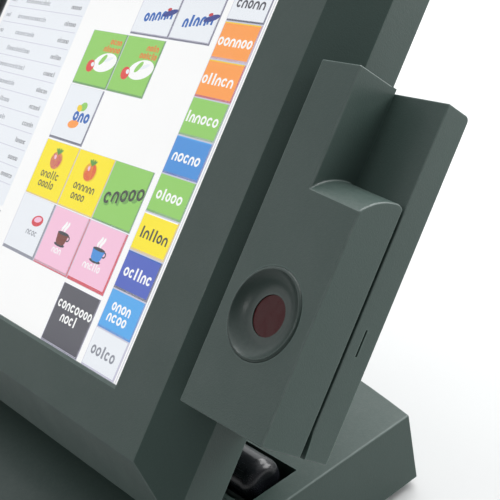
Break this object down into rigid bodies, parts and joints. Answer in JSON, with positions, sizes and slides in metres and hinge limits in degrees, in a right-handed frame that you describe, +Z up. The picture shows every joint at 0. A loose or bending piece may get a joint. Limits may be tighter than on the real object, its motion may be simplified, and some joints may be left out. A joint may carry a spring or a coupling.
{
  "type": "touch terminal with fingerprint reader",
  "caption": "Countertop touch terminal: reclined screen head on a weighted base, with a side module that holds a finger dish and a card swipe slot.",
  "frame": {"origin": "on the table, under the middle of the terminal's overall box", "axes": "+X to the user's right, +Y away from the user, +Z up"},
  "size_m": [0.4846, 0.2719, 0.311],
  "materials": {
    "shell_plastic": "fine textured moulded plastic",
    "rear_plastic": "fine textured moulded plastic",
    "module_plastic": "fine textured moulded plastic",
    "base_plastic": "fine textured moulded plastic",
    "guide_plastic": "satin",
    "button_plastic": "satin",
    "black_plastic": "satin",
    "barrel_gloss": "glossy moulded plastic",
    "touch_glass": "clear, fine anti-glare",
    "sensor_glass": "clear red-tinted platen",
    "screen_image": "lit display picture",
    "lcd_body": "display housing",
    "gasket": "closed-cell foam",
    "sheet_steel": "zinc plated sheet",
    "screw_steel": "zinc plated",
    "screw_black": "black oxide",
    "shaft_steel": "ground",
    "rail_steel": "polished by wear",
    "read_head_steel": "lapped",
    "spring_brass": "rolled",
    "circuit_board": "solder mask",
    "heatsink_aluminium": "extruded",
    "drive_case": "cast",
    "supply_cage": "folded sheet",
    "lens_plastic": "smoked lens",
    "foot_rubber": "matte",
    "plate_paint": "powder coat",
    "ballast_iron": "as cast",
    "port_metal": "nickel plated",
    "port_plastic": "moulded"
  },
  "bodies": {
    "base": {"base_cover": "base_plastic", "base_plate": "plate_paint", "base_screws": "screw_black", "rubber_feet": "foot_rubber", "ballast": "ballast_iron", "hinge_shaft": "shaft_steel", "friction_washers": "spring_brass", "hinge_nuts": "screw_steel", "power_supply": "supply_cage", "io_tray": "sheet_steel", "io_board": "circuit_board", "usb_ports": "port_metal", "serial_port": "port_metal", "power_inlet": "port_plastic", "network_jack": "port_plastic", "drawer_jack": "port_plastic", "door_pin": "shaft_steel", "hinge_bracket_left": "sheet_steel", "hinge_bracket_right": "sheet_steel"},
    "head": {"front_housing": "shell_plastic", "rear_cover": "rear_plastic", "touch_glass": "touch_glass", "touch_gasket": "gasket", "lcd_image": "screen_image", "lcd_panel": "lcd_body", "chassis_frame": "sheet_steel", "chassis_screws": "screw_steel", "main_board": "circuit_board", "heatsink": "heatsink_aluminium", "memory_module": "circuit_board", "storage_drive": "drive_case", "backlight_inverter": "circuit_board", "touch_controller": "circuit_board", "button_spring": "screw_steel", "power_switch": "black_plastic", "head_screws": "screw_black", "speaker_left": "black_plastic", "speaker_right": "black_plastic", "hinge_arm_left": "sheet_steel", "hinge_arm_right": "sheet_steel", "hinge_cover_left": "barrel_gloss", "hinge_cover_right": "barrel_gloss", "hinge_cover_centre": "barrel_gloss", "module_front_cover": "module_plastic", "finger_guide": "guide_plastic", "sensor_window": "sensor_glass", "sensor_block": "black_plastic", "sensor_board": "circuit_board", "slot_wall": "black_plastic", "card_rail": "rail_steel", "module_rear_plate": "module_plastic", "module_back_cover": "module_plastic", "status_lens": "lens_plastic", "decoder_board": "circuit_board", "module_screws": "screw_black", "module_bracket": "sheet_steel"},
    "power_button": {"power_button": "button_plastic"},
    "read_head": {"read_head": "read_head_steel", "read_head_spring": "spring_brass"},
    "cable_door": {"cable_door": "base_plastic"}
  },
  "joints": [
    {"name": "head_tilt", "type": "hinge", "parent": "base", "child": "head", "pos_m": [-0.0237, -0.036, 0.049], "axis": [1, 0, 0], "range_deg": [-20, 20]},
    {"name": "power_button_press", "type": "slide", "parent": "head", "child": "power_button", "axis": [1, 0, 0], "range_m": [0, 0.0012], "stiffness_N_per_m": 700, "springref_m": -0.001},
    {"name": "read_head_float", "type": "slide", "parent": "head", "child": "read_head", "axis": [0, -0.7373, 0.6756], "range_m": [0, 0.0008], "stiffness_N_per_m": 900, "springref_m": -0.0005},
    {"name": "cable_door_swing", "type": "hinge", "parent": "base", "child": "cable_door", "pos_m": [-0.0237, 0.072, 0.033], "axis": [1, 0, 0], "range_deg": [0, 95]}
  ]
}
